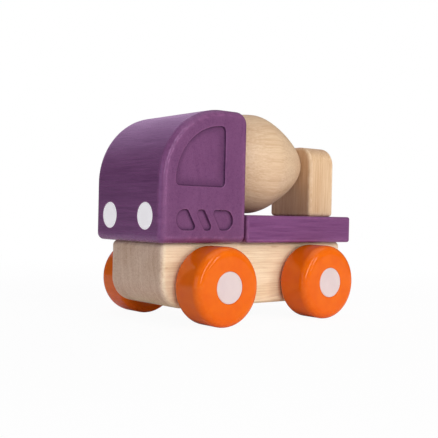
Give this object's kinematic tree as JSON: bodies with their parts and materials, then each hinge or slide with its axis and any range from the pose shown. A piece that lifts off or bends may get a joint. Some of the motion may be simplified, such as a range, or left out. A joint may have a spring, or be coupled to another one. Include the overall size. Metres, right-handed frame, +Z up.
{
  "type": "toy mixer truck",
  "caption": "Small wooden toy mixer truck: rounded cab, egg-shaped drum that spins between the cab and a rear post, rear deck, and chunky round-edged wheels on turning axles.",
  "frame": {"origin": "on the ground, midway along the length and across the width", "axes": "+Z up, the truck faces -Y, +X is its left side"},
  "size_m": [0.0676, 0.1002, 0.0844],
  "materials": {
    "purple_stained_wood": "satin water-based stain with the grain faintly showing",
    "natural_wood": "sanded pale hardwood, clear satin",
    "orange_painted_wood": "satin paint",
    "white_disc": "matt white paint",
    "dowel_wood": "raw turned dowel",
    "washer_fibre": "plain fibre washer"
  },
  "bodies": {
    "truck": {"chassis": "natural_wood", "cab": "purple_stained_wood", "deck": "purple_stained_wood", "rear_post": "natural_wood", "headlight_left": "white_disc", "headlight_right": "white_disc", "drum_pin": "dowel_wood", "cab_dowel_front": "dowel_wood", "cab_dowel_rear": "dowel_wood", "deck_dowel_front": "dowel_wood", "deck_dowel_rear": "dowel_wood", "post_dowel_left": "dowel_wood", "post_dowel_right": "dowel_wood"},
    "front_wheel_set": {"front_axle": "dowel_wood", "wheel_front_left": "orange_painted_wood", "wheel_front_right": "orange_painted_wood", "hub_cap_front_left": "white_disc", "hub_cap_front_right": "white_disc", "washer_front_left": "washer_fibre", "washer_front_right": "washer_fibre"},
    "rear_wheel_set": {"rear_axle": "dowel_wood", "wheel_rear_left": "orange_painted_wood", "wheel_rear_right": "orange_painted_wood", "hub_cap_rear_left": "white_disc", "hub_cap_rear_right": "white_disc", "washer_rear_left": "washer_fibre", "washer_rear_right": "washer_fibre"},
    "drum": {"mixer_drum": "natural_wood"}
  },
  "joints": [
    {"name": "front_axle_turn", "type": "hinge", "parent": "truck", "child": "front_wheel_set", "pos_m": [0, -0.02625, 0.015], "axis": [1, 0, 0], "continuous": true},
    {"name": "rear_axle_turn", "type": "hinge", "parent": "truck", "child": "rear_wheel_set", "pos_m": [0, 0.02685, 0.015], "axis": [1, 0, 0], "continuous": true},
    {"name": "drum_turn", "type": "hinge", "parent": "truck", "child": "drum", "pos_m": [0, 0, 0.0635], "axis": [0, 1, 0], "continuous": true}
  ]
}
